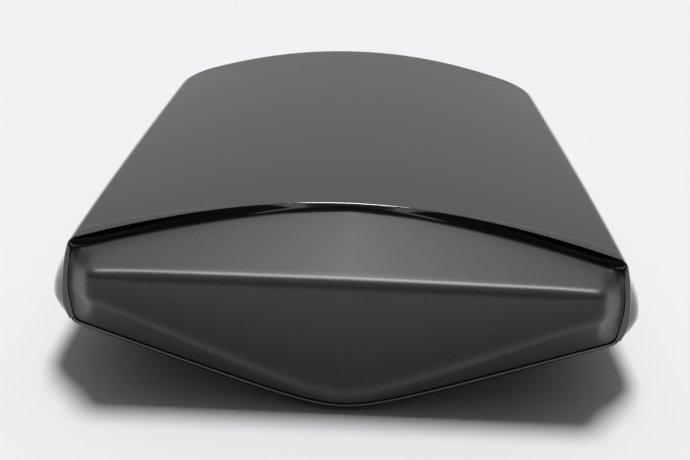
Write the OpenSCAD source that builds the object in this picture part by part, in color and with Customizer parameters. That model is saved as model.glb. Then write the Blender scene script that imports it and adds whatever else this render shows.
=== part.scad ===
// Passenger seat cowl for a sports motorcycle: a gloss moulded cover with a textured back pad
// let into its front, and a moulded under tray with the lock striker, prongs and rubber feet.
// Frame: +X is the rider's right, +Y points to the motorcycle's tail, +Z is up.
// t is the distance behind the line that joins the front corners of the top panel.

/* [Cowl outline] */
// Width across the front corners of the top panel
front_w = 270; // [240:1:300]
// Width across the rear corners of the top panel
rear_w = 193; // [160:1:214]
// Length from the front corners to the rear corners
side_l = 204; // [180:1:240]
// How far the rear edge bows backwards
rear_bow = 27; // [16:1:36]
// How far the front edge of the panel arches back at its middle
arch_l = 33; // [24:1:42]
// Radius of the rear corners in plan
corner_r = 12; // [6:1:20]

/* [Cowl section] */
// Height of the front corners above the ground
front_h = 74.5; // [74:0.5:84]
// How far the side edges fall from front to rear
rear_drop = 14; // [6:0.5:20]
// Rise of the crowned panel above its side edges
crown_h = 8; // [3:0.5:12]
// Wall of the moulded cover
wall_t = 2.4; // [2:0.1:2.8]
// Radius of the fold between panel and side wall
fold_r = 3; // [2.9:0.1:4]
// Shoulder of the side wall just below the fold
shoulder = 3; // [2.8:0.1:4]
// How far the side walls swell out beyond the shoulder
side_bulge = 11; // [6:0.5:15]
// How far the rear wall swells out beyond the shoulder
rear_bulge = 6; // [3:0.5:9]
// Height of the lower edge of the walls
skirt_h = 23.6; // [22:0.2:25]

/* [Back pad] */
// Drop from panel to pad at the middle
pad_drop_mid = 2.7; // [2:0.1:4]
// Drop from panel to pad at the ends
pad_drop_end = 5.3; // [4.5:0.1:7]
// How far the ridge stands forward of the front corners
ridge_fwd = 18; // [12:0.5:22]
// Depth of the ridge below the front corners
ridge_d = 6.6; // [5:0.2:9]
// How far the ridge ends short of the pad's ends
ridge_in = 11; // [8:0.5:16]
// How far the chin stands forward of the front corners
chin_fwd = 29; // [24:0.5:34]
// Depth of the pad's lower corners
pad_corner_d = 46; // [43:0.5:47]
// Depth of the pad's lowest point
pad_tip_d = 70; // [66:0.5:71]
// Radius that rounds the lowest point
tip_r = 20; // [10:1:30]
// Depth of the front face at its ends
face_end_d = 20.3; // [16:0.5:26]
// Width of the flank below the front face at the middle
flank_w = 6.3; // [4:0.5:9]
// How far the front face is hollowed at the middle
scoop = 3; // [0:0.5:5]
// Radius of the ridge
ridge_r = 4; // [2:0.5:5]
// Wall of the moulded pad
pad_t = 2.6; // [2:0.1:3]
// Clearance between the pad and its seat
seat_gap = 0.3; // [0.2:0.05:0.5]

/* [Pad seat] */
// Depth of the rebate that takes the pad's edge
rebate_d = 4; // [3.4:0.2:6]
// Width of the flange behind the pad's edge
flange_w = 15; // [14:0.5:18]
// Depth of the lip that returns under the chin
chin_l = 22; // [16:1:24]
// Thickness of the lip under the chin
chin_t = 3; // [2.4:0.2:3.6]
// Distance of the upper pad screws from the centre line
upper_x = 62; // [50:1:80]
// Distance of the lower pad screws from the centre line
lower_x = 75; // [65:1:90]

/* [Under tray] */
// Thickness of the tray floor
tray_t = 2.5; // [2:0.1:3]
// Height of the underside of the tray floor
tray_h = 25.5; // [25:0.1:27]
// Clearance between tray and cover, measured from the cover's fold line
tray_in = 2; // [1.5:0.5:6]
// Distance of the tray's front edge behind the front corners
tray_front = 27; // [25:1:34]
// Height of the tray's upstanding rim
rim_h = 9; // [5:0.5:12]
// Radius of the pedestals that carry the feet
foot_r = 12; // [9:0.5:15]
// Height of a rubber foot below its pedestal
foot_h = 10; // [8:0.5:13]
// Radius of the stem of a rubber foot
stem_r = 4; // [3:0.25:5]

/* [Lock striker] */
// Radius of the striker rod
rod_r = 3; // [2.5:0.25:4]
// Distance between the legs of the striker, centre to centre
rod_gap = 26; // [22:1:34]
// Distance of the striker behind the front corners
striker_t = 66; // [60:1:84]
// Thickness of the striker plate
plate_t = 2.5; // [2:0.25:3]
// Height of the striker's cross bar above the ground
bar_h = 7.5; // [6:0.5:10]

/* [Prongs] */
// Length of a prong behind its root
prong_l = 26; // [18:1:30]
// Width of a prong
prong_w = 18; // [12:1:24]
// Thickness of a prong
prong_t = 5; // [4:0.25:7]

/* [Fasteners] */
// Radius of the tray screws
screw_r = 2.5; // [2:0.25:3]
// Radius of the heads of the tray screws
head_r = 4.6; // [4.2:0.2:5.4]
// Height of a screw head
head_t = 2.8; // [2:0.2:3.4]
// Thickness of a washer
washer_t = 1; // [0.6:0.1:1.4]
// Radius of a washer
washer_r = 6; // [5.6:0.2:7]
// Radius of a moulded boss in the cover
boss_r = 6.5; // [6:0.25:8]
// Radius of the pad screws
pad_screw_r = 1.9; // [1.6:0.1:2.2]
// Running clearance round a screw or a stem
fit = 0.15; // [0.1:0.05:0.2]

/* [Hidden] */
$fn = 48;
eps = 0.01;

// Colours: gloss black cover, dark textured pad, moulded plastic, zinc, brass and rubber
gloss_c = [0.06, 0.06, 0.065];
pad_c = [0.16, 0.16, 0.165];
tray_c = [0.1, 0.1, 0.105];
zinc_c = [0.7, 0.7, 0.68];
brass_c = [0.75, 0.62, 0.3];
rubber_c = [0.04, 0.04, 0.04];

// Shape exponents of the plan, the fall of the edges and the arch
side_pow = 1.02;
fall_pow = 1.4;
arch_pow = 1.78;
// Rise of the walls' lower edge where it meets the chin, and the distance over which it dies away
heel_h = 1.5;
heel_l = 12;
// Distance over which the side wall reaches its full swell behind the front corners
swell_l = 5;
// Share of the wall's depth at which it is widest, and the curl below that, which also takes
// back a share of the shoulder
wide_at = 0.745;
rise_pow = 1.8;
curl_pow = 1.7;
curl = 0.85;
shoulder_curl = 0.5;
// Depth over which the shoulder is reached
shoulder_d = 8;
// Steps along the side are closer together towards the front by this power
side_spread = 1.6;
// Steps along a side, round a rear corner and along half of the rear edge
side_n = 12;
corner_n = 4;
rear_n = 8;
half_n = side_n + corner_n + rear_n;
// Rows of the wall, the fold and the panel
wall_n = 8;
fold_n = 3;
panel_n = 6;
row_n = wall_n + fold_n + panel_n;
// Rows end this far in front of the rear edge on the centre line
fan_l = 30;

function mix(a, b, f) = a + (b - a) * f;
function unit(v) = v / norm(v);
function flip(p) = [-p[0], p[1], p[2]];
function bend(a, b, c, f) = mix(mix(a, b, f), mix(b, c, f), f);

// Plan and height of the cover
function half_w(t) = mix(front_w, rear_w, pow(min(max(t, 0), side_l) / side_l, side_pow)) / 2;
function edge_z(t) = front_h - rear_drop * pow(max(t, 0) / side_l, fall_pow);
function panel_z(x, t) = edge_z(t) + crown_h * (1 - pow(abs(x) / half_w(t), 2));
function skirt_z(t) = skirt_h + heel_h * exp(-t / heel_l);
function arch_t(x) = arch_l * (1 - pow(min(1, abs(x) * 2 / front_w), arch_pow));
function rear_t(x) = side_l + rear_bow * (1 - pow(x * 2 / rear_w, 2));

// Fold line in plan, as [x, t], and its outward direction, for step k of half an outline
corner_a = [half_w(side_l - corner_r), side_l - corner_r];
corner_b = [rear_w / 2, side_l];
corner_c = [rear_w / 2 - corner_r, rear_t(rear_w / 2 - corner_r)];
function side_step(f) = let (t = (side_l - corner_r) * pow(f, side_spread)) [half_w(t), t];
function rear_step(f) = let (x = mix(corner_c[0], 0, f)) [x, rear_t(x)];
function fold_xy(k) = k <= side_n ? side_step(k / side_n)
    : k <= side_n + corner_n ? bend(corner_a, corner_b, corner_c, (k - side_n) / corner_n)
    : rear_step((k - side_n - corner_n) / rear_n);
function fold_dir(k) = let (a = fold_xy(max(k - 0.5, 0)), b = fold_xy(min(k + 0.5, half_n)))
    k >= half_n ? [0, 1] : unit([b[1] - a[1], a[0] - b[0]]);

// Outward offset of the wall at distance t and share f of its depth
function curl_f(f) = pow(max(0, f - wide_at) / (1 - wide_at), curl_pow);
function swell_f(f) = f < wide_at ? pow(sin(90 * f / wide_at), rise_pow) : 1 - curl * curl_f(f);
function swell(t) = mix(side_bulge, rear_bulge, min(1, pow(t / side_l, 3)))
    * (1 - exp(-t / swell_l));
function wall_off(t, f) = let (d = f * (edge_z(t) - skirt_z(t)))
    shoulder * (1 - exp(-d / shoulder_d)) * (1 - shoulder_curl * curl_f(f)) + swell(t) * swell_f(f);

// Reach of the part behind and in front of the front corners, which centres it on the origin.
// The pad's chin stands a little proud of the lip under it.
chin_proud = 1;
rear_reach = side_l + rear_bow + shoulder + rear_bulge;
front_reach = chin_fwd + chin_proud;
mid_t = (rear_reach - front_reach) / 2;
function place(p) = [p[0], p[1] - mid_t, p[2]];

// Outer surface of the cover at step k and row j: up the wall, over the fold, in to the middle
function wall_pt(k, f) = let (c = fold_xy(k), n = fold_dir(k), z = panel_z(c[0], c[1]),
    o = wall_off(c[1], f)) [c[0] + n[0] * o, c[1] + n[1] * o, mix(z, skirt_z(c[1]), f)];
function row_end(k) = mix(arch_l, side_l + rear_bow - fan_l, k / half_n);
function row_pow(k) = mix(arch_pow, 1, min(1, 2 * k / half_n));
function top_pt(k, g) = let (c = fold_xy(k), x = c[0] * (1 - g),
    t = mix(c[1], row_end(k), 1 - pow(1 - g, row_pow(k)))) [x, t, panel_z(x, t)];
function fold_f(k) = let (c = fold_xy(k)) fold_r / (panel_z(c[0], c[1]) - skirt_z(c[1]));
function fold_g(k) = let (c = fold_xy(k)) fold_r / norm([c[0], c[1] - row_end(k)]);
function cover_pt(k, j) = j <= wall_n ? wall_pt(k, mix(1, fold_f(k), j / wall_n))
    : j <= wall_n + fold_n
        ? bend(wall_pt(k, fold_f(k)), wall_pt(k, 0), top_pt(k, fold_g(k)), (j - wall_n) / fold_n)
    : top_pt(k, mix(fold_g(k), 1, (j - wall_n - fold_n) / panel_n));
function cover_grid() = [for (i = [0 : 2 * half_n]) [for (j = [0 : row_n])
    i <= half_n ? cover_pt(i, j) : flip(cover_pt(2 * half_n - i, j))]];

// Normal of a grid of points, and the triangles of a grid's squares
function grid_normal(g, i, j) = let (im = max(i - 1, 0), ip = min(i + 1, len(g) - 1),
    jm = max(j - 1, 0), jp = min(j + 1, len(g[0]) - 1))
    unit(cross(g[ip][j] - g[im][j], g[i][jp] - g[i][jm]));
function flat_list(g) = [for (r = g) each r];
function split(q) = [for (f = [[q[0], q[1], q[2]], [q[0], q[2], q[3]]])
    if (f[0] != f[1] && f[1] != f[2] && f[0] != f[2]) f];
function turned(q, by) = [for (v = [3, 2, 1, 0]) by + q[v]];

// On the centre line the two halves meet, so the normal there has no sideways part
function cover_normal(g, i, j) = j < row_n ? grid_normal(g, i, j)
    : let (k = min(i, 2 * half_n - i), a = g[max(k - 1, 0)][j], b = g[min(k + 1, half_n)][j],
        d = b - a) unit([0, -d[2], d[1]]);

// Closed wall of the cover: its outer grid, and the same grid moved in by the wall, which thins
// to a feathered edge beside the pad
edge_wall = 1.4;
function wall_at(i, j) = (i == 0 || i == 2 * half_n) && j <= wall_n ? edge_wall : wall_t;
module cover_wall() {
    g = cover_grid();
    last = 2 * half_n;
    inner = [for (i = [0 : last]) [for (j = [0 : row_n])
        g[i][j] - wall_at(i, j) * cover_normal(g, i, j)]];
    count = (last + 1) * (row_n + 1);
    function id(i, j) = (j == row_n ? min(i, last - i) : i) * (row_n + 1) + j;
    skin = [for (i = [0 : last - 1], j = [0 : row_n - 1])
        [id(i, j), id(i, j + 1), id(i + 1, j + 1), id(i + 1, j)]];
    lower = [for (i = [0 : last - 1])
        [id(i, 0), id(i + 1, 0), count + id(i + 1, 0), count + id(i, 0)]];
    front = [for (j = [0 : row_n - 1]) each [
        [id(0, j + 1), id(0, j), count + id(0, j), count + id(0, j + 1)],
        [id(last, j), id(last, j + 1), count + id(last, j + 1), count + id(last, j)]]];
    polyhedron(points = [for (p = concat(flat_list(g), flat_list(inner))) place(p)],
        faces = concat([for (q = skin) each split(q)],
            [for (q = skin) each split(turned(q, count))],
            [for (q = concat(lower, front)) each split(q)]), convexity = 6);
}

// Front opening of the cover, which the pad fills. Half of its loop runs from the middle of the
// top to the right, down the side and along the chin back to the middle.
top_n = 12;
edge_n = 11;
open_x = front_w / 2 - seat_gap;
open_bow = 1.6;
open_r = 5;
drop_reach = 0.375 * front_w;
open_top_x = open_x - open_r;
ridge_x = open_x - ridge_in;
open_hi = front_h - pad_drop_end - open_r;
open_lo = front_h - pad_corner_d + open_r;
function pad_drop(x) = mix(pad_drop_mid, pad_drop_end, sin(90 * min(1, abs(x) / drop_reach)));
// Share of the way from the lower corners, 0, to the rounded tip, 1
function tip_f(x, w) = 1 - (norm([x, tip_r]) - tip_r) / (norm([w, tip_r]) - tip_r);
function open_top(x) = [x, arch_t(x), panel_z(x, arch_t(x)) - pad_drop(x)];
function open_low(x) = let (f = tip_f(x, front_w / 2))
    [x, -chin_fwd * f, front_h - mix(pad_corner_d, pad_tip_d, f)];
function open_side(f) = [open_x + open_bow * sin(180 * f), 0, mix(open_hi, open_lo, f)];
function col_x(i) = i < top_n ? ridge_x * i / (top_n - 1) : open_top_x;
half_loop = concat([for (i = [0 : top_n]) open_top(col_x(i))],
    [bend(open_top(open_top_x), [open_x, 0, open_hi + open_r], open_side(0), 0.5)],
    [for (i = [0 : edge_n - 2]) open_side(i / (edge_n - 2))],
    [bend(open_side(1), [open_x, 0, open_lo - open_r], open_low(open_top_x), 0.5)],
    [for (i = [top_n : -1 : 0]) open_low(col_x(i))]);
half_len = len(half_loop);
// The whole loop starts at the middle of the top and runs to the left
open_loop = concat([for (p = half_loop) flip(p)], [for (i = [half_len - 2 : -1 : 1]) half_loop[i]]);
loop_n = len(open_loop);
function around(i) = (i + loop_n) % loop_n;
function inward(i) =
    let (q = cross(open_loop[around(i + 1)] - open_loop[around(i - 1)], [0, 1, 0])) unit(q);
open_in = [for (i = [0 : loop_n - 1]) inward(i)];

// Seat ring: from the cover's front edge it makes the rebate and the flange behind the pad, and
// along the chin it returns under the pad as a lip. It lies this far under the panel's face, and
// this far out into the side walls.
sink = 0.9;
side_seat = 0.9;
slope = 0.3;
ring_tail = 1.5;
function half_i(i) = i < half_len ? i : loop_n - i;
function is_low(i) = half_i(i) > top_n + edge_n;
function side_share(p) = min(1, max(0, (abs(p[0]) - open_top_x) / open_r));
function ring_out(i) = let (p = open_loop[i]) is_low(i) ? chin_t
    : mix(pad_drop(p[0]) - sink, side_seat, side_share(p));
function ring_back(i) = let (p = open_loop[i], d = rebate_d + wall_t,
    f = max(0, (front_h - p[2]) / (front_h - skirt_h))) is_low(i) ? chin_t
    : mix(pad_drop(p[0]) - sink - slope, half_w(d) + wall_off(d, f) - wall_t / 2 - abs(p[0]),
        side_share(p));
function ring_section(i) = let (p = open_loop[i], q = open_in[i], e = [0, rebate_d, 0],
    w = [0, wall_t, 0], l = is_low(i) ? [0, chin_l, 0] : [0, rebate_d + wall_t + ring_tail, 0],
    v = q * flange_w * (is_low(i) ? 1 - tip_f(p[0], front_w / 2) / 2 : 1))
    [p - q * ring_out(i), p, p + e, p + e + v, p + e + w + v,
     p + e + w, p + l - q * (is_low(i) ? 0 : slope), p - q * ring_back(i) + l];

module seat_ring() {
    n = len(ring_section(0));
    polyhedron(points = [for (i = [0 : loop_n - 1]) each [for (p = ring_section(i)) place(p)]],
        faces = [for (i = [0 : loop_n - 1], j = [0 : n - 1]) each split([i * n + j,
            i * n + (j + 1) % n, around(i + 1) * n + (j + 1) % n, around(i + 1) * n + j])],
        convexity = 6);
}

// Pad screws: [x, face t, z] of the flat seat between each lug of the cover and boss of the pad
lug_r = 5.2;
lug_l = 6;
lug_in = 9.6;
lug_proud = 2.2;
pad_boss_r = 3.6;
function lug_at(p, q) = let (c = p + q * lug_in) [c[0], p[1] + rebate_d - lug_proud, c[2]];
function low_in(x) = let (a = open_low(x - 1), b = open_low(x + 1))
    unit(cross(b - a, [0, 1, 0]));
function top_in(x) = let (a = open_top(x + 1), b = open_top(x - 1))
    unit(cross(b - a, [0, 1, 0]));
upper_lug = lug_at(open_top(upper_x), top_in(upper_x));
lower_lug = lug_at(open_low(lower_x), low_in(lower_x));
lugs = [for (s = [-1, 1], l = [upper_lug, lower_lug]) [s * l[0], l[1], l[2]]];
module along_y(p, r, l) {
    translate(place(p)) rotate([-90, 0, 0]) cylinder(r = r, h = l, $fn = 32);
}

// Tray screws go up into inserts in the cover's bosses: two near the tray's front edge, inside
// the front feet, two halfway and two in front of the rear feet
boss_fn = 28;
boss_edge = 15;
boss_step = 18;
boss_clear = 3.5;
foot_in = 28;
foot_front_t = 48;
foot_rear = 22;
feet = [for (t = [foot_front_t, side_l - foot_rear], s = [-1, 1]) [s * (half_w(t) - foot_in), t]];
mid_boss_t = side_l / 2;
rear_boss_t = feet[2][1] - 2 * boss_step;
boss_rows = [[feet[1][0] - foot_r - washer_r - boss_clear, tray_front + boss_edge],
    [half_w(mid_boss_t) - foot_in, mid_boss_t], [feet[3][0] - boss_edge / 2, rear_boss_t]];
boss_xy = [for (s = [-1, 1], p = boss_rows) [s * p[0], p[1]]];
tray_top = tray_h + tray_t;
insert_l = 9;
insert_wall = 1.1;
insert_r = screw_r + fit + insert_wall;
hole_end = 4;
boss_top = 0.4;
module panel_boss(p) {
    z = panel_z(p[0], p[1]) - wall_t / 2;
    translate(place([p[0], p[1], tray_top])) difference() {
        cylinder(r = boss_r, h = z - tray_top - boss_top, $fn = boss_fn);
        translate([0, 0, -eps]) cylinder(r = insert_r + fit, h = insert_l + hole_end, $fn = boss_fn);
    }
}
// Ribs under the panel follow its crown in short steps
rib_d = 7;
rib_w = 1.8;
rib_n = 6;
rib_in = 24;
module panel_rib(t) {
    reach = half_w(t) - rib_in;
    function rib_top(f) = let (x = mix(-reach, reach, f)) [x, t, panel_z(x, t) - wall_t / 2 - rib_d];
    for (i = [0 : rib_n - 1]) hull() for (f = [i, i + 1] / rib_n)
        translate(place(rib_top(f))) cylinder(d = rib_w, h = rib_d, $fn = 6);
}

module cowl_shell() {
    color(gloss_c) difference() {
        union() {
            cover_wall();
            seat_ring();
            for (p = lugs) along_y(p, lug_r, lug_l);
            for (p = boss_xy) panel_boss(p);
            for (p = boss_rows) panel_rib(p[1]);
        }
        for (p = lugs) along_y(p - [0, eps, 0], pad_screw_r + fit, lug_l + 2 * eps);
    }
}

// Pad: columns run from its top edge over the ridge and down the front face and flank. The ridge
// falls away at the ends, where the flank is widest, and the face is hollowed at this share.
ridge_fall = 4.5;
flank_end_w = 9;
face_fwd = 3;
hollow_at = 0.47;
function end_f(x) = max(0, (abs(x) - ridge_x) / (open_x - ridge_x));
function ridge_pt(x) = let (e = end_f(x))
    [x, -ridge_fwd * (1 - e), front_h - mix(ridge_d, ridge_d + ridge_fall, e)];
function face_pt(x) = let (e = end_f(x), f = tip_f(min(abs(x), ridge_x), ridge_x),
    t = -mix(ridge_fwd + face_fwd, front_reach, f), d = mix(face_end_d, pad_tip_d - flank_w, f))
    [x, t * (1 - e), front_h - mix(d, pad_corner_d - flank_end_w, e)];
function hollow_pt(x) = let (f = tip_f(min(abs(x), ridge_x), ridge_x))
    mix(ridge_pt(x), face_pt(x), hollow_at) + [0, scoop * f, 0];
function toward(a, b, d) = a + unit(b - a) * min(d, norm(b - a) * 0.45);
function pad_column(x) = let (a = open_top(x), r = ridge_pt(x), h = hollow_pt(x), c = face_pt(x),
    b = open_low(x), r1 = toward(r, a, ridge_r), r2 = toward(r, h, ridge_r),
    c1 = toward(c, h, ridge_r + 2), c2 = toward(c, b, ridge_r))
    [a, mix(a, r1, 0.5), r1, bend(r1, r, r2, 0.5), r2, h, mix(h, c1, 0.5), c1,
     bend(c1, c, c2, 0.5), c2, mix(c2, b, 0.5), b];

// Edge of the pad, in its seat's clearance: half loop step of column k and row j
function edge_i(k, j) = k > top_n ? top_n + 1 + j : j == 0 ? k : half_len - 1 - k;
function is_edge(k, j) = k > top_n || j == 0 || j == edge_n;
function edge_pt(k, j, d) = let (i = edge_i(k, j)) half_loop[i] + flip(open_in[i]) * d;
half_pad = [for (k = [0 : top_n + 1]) let (c = pad_column(col_x(min(k, top_n))))
    [for (j = [0 : edge_n]) is_edge(k, j) ? edge_pt(k, j, seat_gap) : c[j]]];
pad_last = 2 * top_n + 2;
edge_step = [0, 0.6, 0];
function pad_k(i) = abs(i - top_n - 1);
function mirrored(p, i) = i > top_n ? p : flip(p);

module pad_skin() {
    g = [for (i = [0 : pad_last]) [for (j = [0 : edge_n]) mirrored(half_pad[pad_k(i)][j], i)]];
    inner = [for (i = [0 : pad_last]) [for (j = [0 : edge_n]) is_edge(pad_k(i), j)
        ? mirrored(edge_pt(pad_k(i), j, seat_gap + pad_t), i) + edge_step
        : g[i][j] + pad_t * grid_normal(g, i, j)]];
    count = (pad_last + 1) * (edge_n + 1);
    function id(i, j) = i * (edge_n + 1) + j;
    skin = [for (i = [0 : pad_last - 1], j = [0 : edge_n - 1])
        [id(i, j), id(i + 1, j), id(i + 1, j + 1), id(i, j + 1)]];
    rim = concat([for (i = [pad_last : -1 : 1]) [i, 0]], [for (j = [0 : edge_n - 1]) [0, j]],
        [for (i = [0 : pad_last - 1]) [i, edge_n]], [for (j = [edge_n : -1 : 1]) [pad_last, j]]);
    back = [0, rebate_d - 2.5 * seat_gap, 0];
    rim_n = len(rim);
    outer_back = [for (r = rim) g[r[0]][r[1]] + back];
    inner_back = [for (r = rim) inner[r[0]][r[1]] + back - edge_step];
    function rim_id(m, c) = let (r = rim[m % rim_n]) c < 2 ? c * count + id(r[0], r[1])
        : 2 * count + (c - 2) * rim_n + m % rim_n;
    edges = [for (m = [0 : rim_n - 1], c = [[0, 2], [2, 3], [3, 1]])
        [rim_id(m, c[0]), rim_id(m + 1, c[0]), rim_id(m + 1, c[1]), rim_id(m, c[1])]];
    polyhedron(points = [for (p = concat(flat_list(g), flat_list(inner), outer_back, inner_back))
            place(p)],
        faces = concat([for (q = skin) each split(q)], [for (q = skin) each split(turned(q, count))],
            [for (q = edges) each split(q)]), convexity = 6);
}

// Pad bosses run forward from their seat to the skin
upper_boss_l = 28;
lower_boss_l = 5.6;
upper_hole_l = 9;
lower_hole_l = lower_boss_l - 1.5;
function is_upper(p) = p[2] == upper_lug[2];
module pad_panel() {
    color(pad_c) difference() {
        union() {
            pad_skin();
            for (p = lugs) let (l = is_upper(p) ? upper_boss_l : lower_boss_l)
                along_y(p - [0, l, 0], pad_boss_r, l);
        }
        for (p = lugs) let (l = is_upper(p) ? upper_hole_l : lower_hole_l)
            along_y(p - [0, l, 0], pad_screw_r + fit / 3, l + eps);
    }
}

// Pan head screw along its own axis: the head's seat is at zero and the shank points up
module pan_screw(r, hr, ht, l, drive) {
    difference() {
        union() {
            cylinder(r = r, h = l);
            intersection() {
                translate([0, 0, -ht]) cylinder(r = hr, h = ht);
                translate([0, 0, hr * 1.6 - ht]) sphere(r = hr * 1.6);
            }
        }
        translate([0, 0, -ht - eps]) cylinder(r = drive, h = ht * 0.55, $fn = 6);
    }
}
module ring(r1, r2, h) {
    difference() {
        cylinder(r = r1, h = h);
        translate([0, 0, -eps]) cylinder(r = r2, h = h + 2 * eps);
    }
}
pad_head_r = 3.8;
pad_head_t = head_t * 0.8;
pad_washer_r = 4.8;
pad_grip = lug_l + washer_t;
screw_play = 2;
module pad_screws() {
    color(zinc_c) for (p = lugs) let (l = pad_grip + (is_upper(p) ? upper_hole_l : lower_hole_l))
        translate(place(p + [0, pad_grip, 0])) rotate([90, 0, 0])
            pan_screw(pad_screw_r, pad_head_r, pad_head_t, l - screw_play, pad_screw_r * 0.9);
}
module pad_washers() {
    color(zinc_c) for (p = lugs) translate(place(p + [0, lug_l, 0])) rotate([-90, 0, 0])
        ring(pad_washer_r, pad_screw_r + fit, washer_t);
}

// Tray outline: the fold line moved in, cut off square at the tray's front edge
tray_steps = 30;
function tray_pt(k, d) = let (c = fold_xy(k), n = fold_dir(k)) [c[0] - n[0] * d, c[1] - n[1] * d];
function tray_half(d) = [for (i = [0 : tray_steps]) tray_pt(half_n * i / tray_steps, d)];
module tray_area(d, front) {
    h = tray_half(d);
    intersection() {
        polygon([for (p = concat(h, [for (i = [tray_steps - 1 : -1 : 0]) [-h[i][0], h[i][1]]]))
            [p[0], p[1] - mid_t]]);
        translate([-front_w, front - mid_t]) square([2 * front_w, side_l * 2]);
    }
}
stem_l = 9;
pedestal_t = 3;
prong_x = 34;
prong_root = side_l - 4;
root_l = 20;
root_h = 11;
rib_h = 6;
rib_x = 2 * rod_gap;
rib_shift = 10;
cross_t = [mid_boss_t - rib_shift, rear_boss_t + rib_w];
plate_l = 34;
plate_side = 19;
plate_w = rod_gap + 2 * plate_side;
plate_edge = 7.5;
plate_holes = [for (x = [-1, 1], y = [-1, 1])
    [x * (plate_w / 2 - plate_edge), striker_t + y * (plate_l / 2 - plate_edge)]];
plate_r = 5;
m5_r = 2.5;
nut_r = 4.6;
nut_t = 4;
nut_room = 2;
boss_play = 1;

module tray_rib(a, b, z, h) {
    d = b - a;
    translate(place([a[0], a[1], z])) rotate([0, 0, atan2(d[1], d[0])])
        translate([0, -rib_w / 2, 0]) cube([norm(d), rib_w, h]);
}
module pedestal(p) {
    translate(place([p[0], p[1], foot_h])) difference() {
        cylinder(r = foot_r, h = tray_h - foot_h + eps);
        translate([0, 0, pedestal_t]) cylinder(r = foot_r - tray_t, h = tray_h - foot_h);
    }
}
module prong(s) {
    // Root block under the floor and the tongue that slides under the tail's bracket
    z = tray_h - root_h;
    translate(place([s * prong_x - prong_w / 2, prong_root - root_l, z]))
        cube([prong_w, root_l, root_h + eps]);
    translate(place([s * prong_x - prong_w / 2, prong_root - eps, z]))
        cube([prong_w, prong_l, prong_t]);
}
module under_tray() {
    color(tray_c) difference() {
        union() {
            translate([0, 0, tray_h]) linear_extrude(tray_t) tray_area(tray_in, tray_front);
            translate([0, 0, tray_top - eps]) linear_extrude(rim_h) difference() {
                tray_area(tray_in, tray_front);
                tray_area(tray_in + tray_t, tray_front + tray_t);
            }
            for (p = feet) pedestal(p);
            for (s = [-1, 1]) prong(s);
            for (x = [-rib_x, 0, rib_x]) tray_rib([x, tray_front + 1],
                [x, rear_t(x) - tray_in - 1], tray_top - eps, rib_h);
            for (t = cross_t) tray_rib([-half_w(t) + tray_in + 1, t],
                [half_w(t) - tray_in - 1, t], tray_top - eps, rib_h);
        }
        for (p = feet) translate(place([p[0], p[1], foot_h - eps]))
            cylinder(r = stem_r + fit, h = tray_top - foot_h + 2 * eps);
        for (p = boss_xy) translate(place([p[0], p[1], tray_h - eps]))
            cylinder(r = screw_r + 2 * fit, h = tray_t + 2 * eps);
        for (p = boss_xy) translate(place([p[0], p[1], tray_top]))
            cylinder(r = boss_r + boss_play, h = rim_h + 1);
        for (p = plate_holes) translate(place([p[0], p[1], tray_h - eps]))
            cylinder(r = m5_r + fit, h = tray_t + rib_h + 1);
        for (p = plate_holes) translate(place([p[0], p[1], tray_top]))
            cylinder(r = nut_r + nut_room, h = rib_h + 1);
    }
}

module tray_inserts() {
    color(brass_c) for (p = boss_xy) translate(place([p[0], p[1], tray_top]))
        ring(insert_r, screw_r + fit / 2, insert_l);
}
tray_screw_l = washer_t + tray_t + insert_l + screw_play;
module tray_screws() {
    color(zinc_c) for (p = boss_xy) translate(place([p[0], p[1], tray_h - washer_t]))
        pan_screw(screw_r, head_r, head_t, tray_screw_l, screw_r);
}
module tray_washers() {
    color(zinc_c) for (p = boss_xy) translate(place([p[0], p[1], tray_h - washer_t]))
        ring(washer_r, screw_r + fit, washer_t);
}

// Striker: a plate under the tray, and a bent rod whose ends pass through it
module striker_plate() {
    color(zinc_c) difference() {
        translate([0, striker_t - mid_t, tray_h - plate_t]) linear_extrude(plate_t)
            offset(r = plate_r) square([plate_w - 2 * plate_r, plate_l - 2 * plate_r], center = true);
        for (p = plate_holes) translate(place([p[0], p[1], tray_h - plate_t - eps]))
            cylinder(r = m5_r + fit, h = plate_t + 2 * eps);
        for (x = [-1, 1]) translate(place([x * rod_gap / 2, striker_t, tray_h - plate_t - eps]))
            cylinder(r = rod_r + fit / 3, h = plate_t + 2 * eps);
    }
}
rod_bend = 7;
module striker_rod() {
    leg_lo = bar_h + rod_bend;
    color(zinc_c) translate(place([0, striker_t, 0])) {
        for (s = [-1, 1]) translate([s * rod_gap / 2, 0, leg_lo])
            cylinder(r = rod_r, h = tray_h - leg_lo);
        for (s = [0, 1]) mirror([s, 0, 0]) translate([rod_gap / 2 - rod_bend, 0, leg_lo])
            rotate([90, 0, 0]) rotate([0, 0, -90]) rotate_extrude(angle = 90)
                translate([rod_bend, 0]) circle(r = rod_r);
        translate([-rod_gap / 2 + rod_bend, 0, bar_h]) rotate([0, 90, 0])
            cylinder(r = rod_r, h = rod_gap - 2 * rod_bend);
    }
}
striker_screw_l = plate_t + tray_t + nut_t + 1;
module striker_screws() {
    color(zinc_c) for (p = plate_holes) translate(place([p[0], p[1], tray_h - plate_t]))
        pan_screw(m5_r, head_r, head_t, striker_screw_l, m5_r);
}
module striker_nuts() {
    color(zinc_c) for (p = plate_holes) translate(place([p[0], p[1], tray_top])) difference() {
        cylinder(r = nut_r, h = nut_t, $fn = 6);
        translate([0, 0, -eps]) cylinder(r = m5_r + fit / 3, h = nut_t + 2 * eps);
    }
}

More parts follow.
